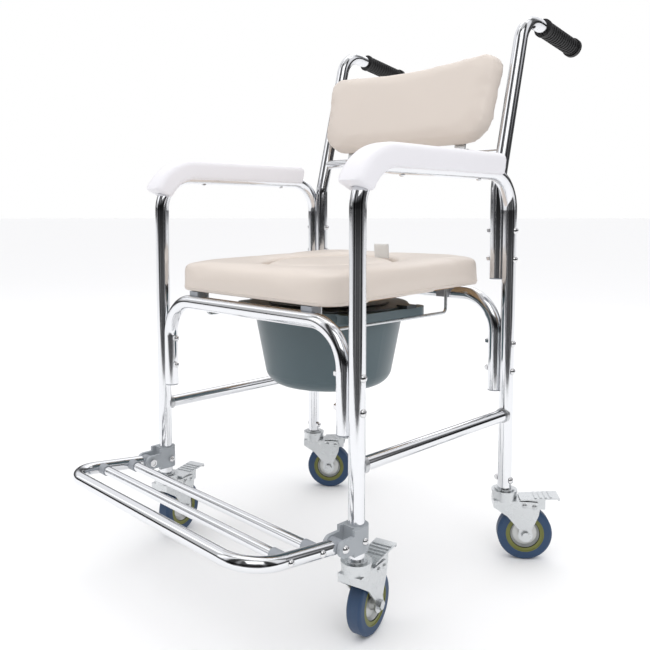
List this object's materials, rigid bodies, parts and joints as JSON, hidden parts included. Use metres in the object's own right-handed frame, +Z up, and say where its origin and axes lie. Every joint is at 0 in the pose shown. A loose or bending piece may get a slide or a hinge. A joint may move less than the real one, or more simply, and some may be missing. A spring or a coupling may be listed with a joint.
{
  "type": "commode chair",
  "caption": "Wheeled commode chair with a bent tube frame, padded seat with a lift-out plug, bucket, folding footrest, push handles and braked swivel casters.",
  "frame": {"origin": "on the floor, in the middle of the four legs", "axes": "+Z up, the chair faces -Y, +X is to the sitter's left"},
  "size_m": [0.6407, 0.8963, 1.0163],
  "materials": {
    "blue_tyre": "blue elastic",
    "bolt_steel": "bright plated",
    "bracket_plastic": "blue grey moulded",
    "bucket_plastic": "blue grey",
    "grip_rubber": "ribbed, black",
    "lid_plastic": "dark grey",
    "plug_plastic": "grey moulded",
    "plywood": "plain plywood",
    "polished_tube": "polished",
    "vinyl": "cream padded vinyl",
    "webbing": "white woven ribbon",
    "weld_bead": "rippled weld bead",
    "wheel_disc": "zinc disc with an olive ring",
    "white_foam": "white self-skinned foam",
    "zinc": "bright zinc plated"
  },
  "bodies": {
    "frame": {"side_frame_left": "polished_tube", "side_frame_right": "polished_tube", "side_rails": "polished_tube", "rail_welds": "weld_bead", "front_cross_tube": "polished_tube", "rear_cross_tube": "polished_tube", "tube_end_plugs": "plug_plastic", "frame_bolts": "bolt_steel", "frame_nuts": "bolt_steel", "back_upright_left": "polished_tube", "back_upright_right": "polished_tube", "back_cross_tube": "polished_tube", "back_straps": "zinc", "back_board": "plywood", "back_screws": "bolt_steel", "back_cushion": "vinyl", "push_grip_left": "grip_rubber", "push_grip_right": "grip_rubber", "arm_pad_left": "white_foam", "arm_pad_right": "white_foam", "arm_pad_screws": "bolt_steel", "footrest_bracket_left": "bracket_plastic", "footrest_bracket_right": "bracket_plastic", "footrest_bolts": "bolt_steel", "footrest_nuts": "bolt_steel", "caster_stems": "zinc"},
    "seat": {"seat_board": "plywood", "seat_cushion": "vinyl", "seat_clips": "plug_plastic", "pan_rails": "zinc"},
    "plug": {"seat_plug": "vinyl", "plug_tab": "webbing"},
    "bucket": {"bucket": "bucket_plastic"},
    "lid": {"bucket_lid": "lid_plastic"},
    "footrest": {"footrest_frame": "polished_tube", "footrest_bars": "polished_tube", "footrest_plugs": "plug_plastic", "footrest_screws": "bolt_steel"},
    "caster_fl": {"caster_fork_fl": "zinc", "caster_axle_fl": "zinc"},
    "wheel_fl": {"caster_wheel_fl": "wheel_disc", "caster_tyre_fl": "blue_tyre"},
    "pedal_fl": {"caster_pedal_fl": "zinc"},
    "caster_fr": {"caster_fork_fr": "zinc", "caster_axle_fr": "zinc"},
    "wheel_fr": {"caster_wheel_fr": "wheel_disc", "caster_tyre_fr": "blue_tyre"},
    "pedal_fr": {"caster_pedal_fr": "zinc"},
    "caster_rl": {"caster_fork_rl": "zinc", "caster_axle_rl": "zinc"},
    "wheel_rl": {"caster_wheel_rl": "wheel_disc", "caster_tyre_rl": "blue_tyre"},
    "pedal_rl": {"caster_pedal_rl": "zinc"},
    "caster_rr": {"caster_fork_rr": "zinc", "caster_axle_rr": "zinc"},
    "wheel_rr": {"caster_wheel_rr": "wheel_disc", "caster_tyre_rr": "blue_tyre"},
    "pedal_rr": {"caster_pedal_rr": "zinc"}
  },
  "joints": [
    {"name": "footrest_fold", "type": "hinge", "parent": "frame", "child": "footrest", "pos_m": [0, -0.244, 0.164], "axis": [-1, 0, 0], "range_deg": [0, 85]},
    {"name": "seat_lift", "type": "slide", "parent": "frame", "child": "seat", "axis": [0, -0.0295, 0.9996], "range_m": [0, 0.12]},
    {"name": "plug_lift", "type": "slide", "parent": "seat", "child": "plug", "axis": [0, -0.0295, 0.9996], "range_m": [0, 0.1]},
    {"name": "bucket_slide", "type": "slide", "parent": "seat", "child": "bucket", "axis": [0, 1, 0], "range_m": [-0.03, 0.03]},
    {"name": "lid_lift", "type": "slide", "parent": "bucket", "child": "lid", "axis": [0, 0, 1], "range_m": [0, 0.015]},
    {"name": "caster_swivel_fl", "type": "hinge", "parent": "frame", "child": "caster_fl", "pos_m": [-0.255, -0.203, 0.115], "axis": [0, 0, 1], "continuous": true},
    {"name": "wheel_roll_fl", "type": "hinge", "parent": "caster_fl", "child": "wheel_fl", "pos_m": [-0.2652, -0.16743, 0.05], "axis": [-0.9613, -0.2756, 0], "continuous": true},
    {"name": "pedal_press_fl", "type": "hinge", "parent": "caster_fl", "child": "pedal_fl", "pos_m": [-0.26933, -0.15301, 0.104], "axis": [-0.9613, -0.2756, 0], "range_deg": [0, 10]},
    {"name": "caster_swivel_fr", "type": "hinge", "parent": "frame", "child": "caster_fr", "pos_m": [0.255, -0.203, 0.115], "axis": [0, 0, 1], "continuous": true},
    {"name": "wheel_roll_fr", "type": "hinge", "parent": "caster_fr", "child": "wheel_fr", "pos_m": [0.24668, -0.16695, 0.05], "axis": [-0.9744, -0.225, 0], "continuous": true},
    {"name": "pedal_press_fr", "type": "hinge", "parent": "caster_fr", "child": "pedal_fr", "pos_m": [0.2433, -0.15233, 0.104], "axis": [-0.9744, -0.225, 0], "range_deg": [0, 10]},
    {"name": "caster_swivel_rl", "type": "hinge", "parent": "frame", "child": "caster_rl", "pos_m": [-0.255, 0.203, 0.115], "axis": [0, 0, 1], "continuous": true},
    {"name": "wheel_roll_rl", "type": "hinge", "parent": "caster_rl", "child": "wheel_rl", "pos_m": [-0.22584, 0.22578, 0.05], "axis": [-0.6157, 0.788, 0], "continuous": true},
    {"name": "pedal_press_rl", "type": "hinge", "parent": "caster_rl", "child": "pedal_rl", "pos_m": [-0.21402, 0.23501, 0.104], "axis": [-0.6157, 0.788, 0], "range_deg": [0, 10]},
    {"name": "caster_swivel_rr", "type": "hinge", "parent": "frame", "child": "caster_rr", "pos_m": [0.255, 0.203, 0.115], "axis": [0, 0, 1], "continuous": true},
    {"name": "wheel_roll_rr", "type": "hinge", "parent": "caster_rr", "child": "wheel_rr", "pos_m": [0.28375, 0.22628, 0.05], "axis": [-0.6293, 0.7771, 0], "continuous": true},
    {"name": "pedal_press_rr", "type": "hinge", "parent": "caster_rr", "child": "pedal_rr", "pos_m": [0.29541, 0.23572, 0.104], "axis": [-0.6293, 0.7771, 0], "range_deg": [0, 10]}
  ]
}
